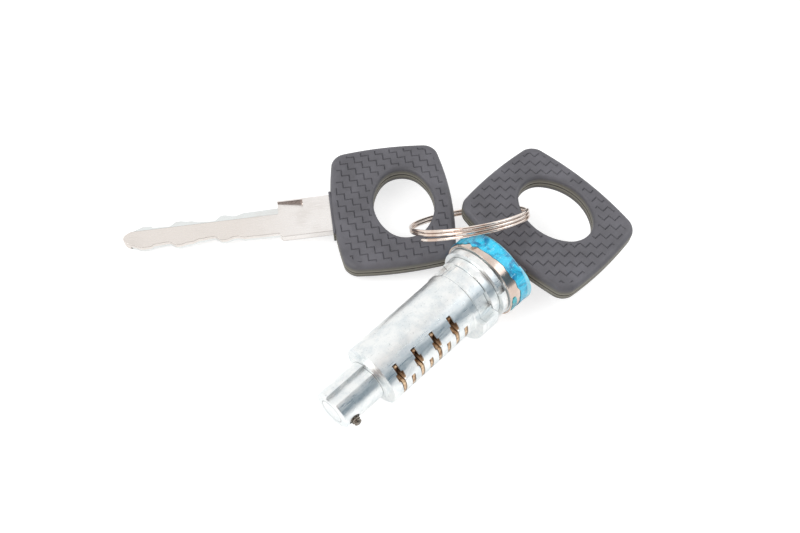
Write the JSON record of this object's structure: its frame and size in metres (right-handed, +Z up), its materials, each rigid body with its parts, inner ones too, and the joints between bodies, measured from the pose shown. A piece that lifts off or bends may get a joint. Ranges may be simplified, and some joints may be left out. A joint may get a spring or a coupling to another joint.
{
  "type": "lock cylinder",
  "caption": "Round lock plug with spring-loaded wafers, a capped front flange and a grooved tail with detent pin, key inserted, spare key on a split ring.",
  "frame": {"origin": "on the floor plane under the middle of the whole set", "axes": "+X along the longest side of the set, from the loose key tip to the inserted key head; +Z up"},
  "size_m": [0.126, 0.08, 0.0237],
  "materials": {
    "zinc": "as die-cast, zinc",
    "chrome": "polished chrome plate",
    "film": "thin clear blue film",
    "pin_steel": "oiled steel",
    "nickel": "nickel plated spring wire",
    "spring_steel": "drawn wire",
    "brass": "stamped brass",
    "blade_steel": "nickel plated",
    "head_plastic": "moulded, patterned face"
  },
  "bodies": {
    "lock": {"plug_body": "zinc", "front_cap": "chrome", "protective_film": "film", "film_scrap": "film", "tail_plate": "zinc", "wafer_spring_1": "spring_steel", "wafer_spring_2": "spring_steel", "wafer_spring_3": "spring_steel", "wafer_spring_4": "spring_steel", "wafer_spring_5": "spring_steel", "wafer_spring_6": "spring_steel", "wafer_spring_7": "spring_steel", "wafer_spring_8": "spring_steel", "detent_spring": "spring_steel"},
    "wafer_1": {"wafer_1": "brass"},
    "wafer_2": {"wafer_2": "brass"},
    "wafer_3": {"wafer_3": "brass"},
    "wafer_4": {"wafer_4": "brass"},
    "wafer_5": {"wafer_5": "brass"},
    "wafer_6": {"wafer_6": "brass"},
    "wafer_7": {"wafer_7": "brass"},
    "wafer_8": {"wafer_8": "brass"},
    "detent_pin": {"detent_pin": "pin_steel"},
    "key_b": {"key_b_blade": "blade_steel", "key_b_upper_shell": "head_plastic", "key_b_lower_shell": "head_plastic"},
    "ring": {"split_ring": "nickel"},
    "key_a": {"key_a_blade": "blade_steel", "key_a_upper_shell": "head_plastic", "key_a_lower_shell": "head_plastic"}
  },
  "joints": [
    {"name": "key_pull", "type": "slide", "parent": "lock", "child": "key_b", "axis": [0.7071, 0.7036, 0.0702], "range_m": [0, 0.06768]},
    {"name": "ring_swing", "type": "hinge", "parent": "key_b", "child": "ring", "pos_m": [0.03684, 0.01412, 0.01491], "axis": [-0.0086, -0.0907, 0.9958], "range_deg": [-25, 0]},
    {"name": "key_a_swing", "type": "hinge", "parent": "ring", "child": "key_a", "pos_m": [0.00848, 0.01196, 0.00922], "axis": [-0.0614, -0.07, 0.9957], "range_deg": [-30, 4]},
    {"name": "wafer_press_1", "type": "slide", "parent": "lock", "child": "wafer_1", "axis": [-0.7071, 0.7047, 0.0581], "range_m": [0, 0.00315], "stiffness_N_per_m": 40, "springref_m": -0.0015, "deforming": ["wafer_spring_1"]},
    {"name": "wafer_press_2", "type": "slide", "parent": "lock", "child": "wafer_2", "axis": [0.7071, -0.7047, -0.0581], "range_m": [0, 0.00081], "stiffness_N_per_m": 40, "springref_m": -0.0015, "deforming": ["wafer_spring_2"]},
    {"name": "wafer_press_3", "type": "slide", "parent": "lock", "child": "wafer_3", "axis": [-0.7071, 0.7047, 0.0581], "range_m": [0, 0.00155], "stiffness_N_per_m": 40, "springref_m": -0.0015, "deforming": ["wafer_spring_3"]},
    {"name": "wafer_press_4", "type": "slide", "parent": "lock", "child": "wafer_4", "axis": [0.7071, -0.7047, -0.0581], "range_m": [0, 0.00275], "stiffness_N_per_m": 40, "springref_m": -0.0015, "deforming": ["wafer_spring_4"]},
    {"name": "wafer_press_5", "type": "slide", "parent": "lock", "child": "wafer_5", "axis": [-0.7071, 0.7047, 0.0581], "range_m": [0, 0.00315], "stiffness_N_per_m": 40, "springref_m": -0.0015, "deforming": ["wafer_spring_5"]},
    {"name": "wafer_press_6", "type": "slide", "parent": "lock", "child": "wafer_6", "axis": [0.7071, -0.7047, -0.0581], "range_m": [0, 0.00045], "stiffness_N_per_m": 40, "springref_m": -0.0015, "deforming": ["wafer_spring_6"]},
    {"name": "wafer_press_7", "type": "slide", "parent": "lock", "child": "wafer_7", "axis": [-0.7071, 0.7047, 0.0581], "range_m": [0, 0.00155], "stiffness_N_per_m": 40, "springref_m": -0.0015, "deforming": ["wafer_spring_7"]},
    {"name": "wafer_press_8", "type": "slide", "parent": "lock", "child": "wafer_8", "axis": [0.7071, -0.7047, -0.0581], "range_m": [0, 0.00045], "stiffness_N_per_m": 40, "springref_m": -0.0015, "deforming": ["wafer_spring_8"]},
    {"name": "detent_press", "type": "slide", "parent": "lock", "child": "detent_pin", "axis": [-0.7071, 0.7047, 0.0581], "range_m": [0, 0.0015], "stiffness_N_per_m": 60, "springref_m": -0.001, "deforming": ["detent_spring"]}
  ]
}
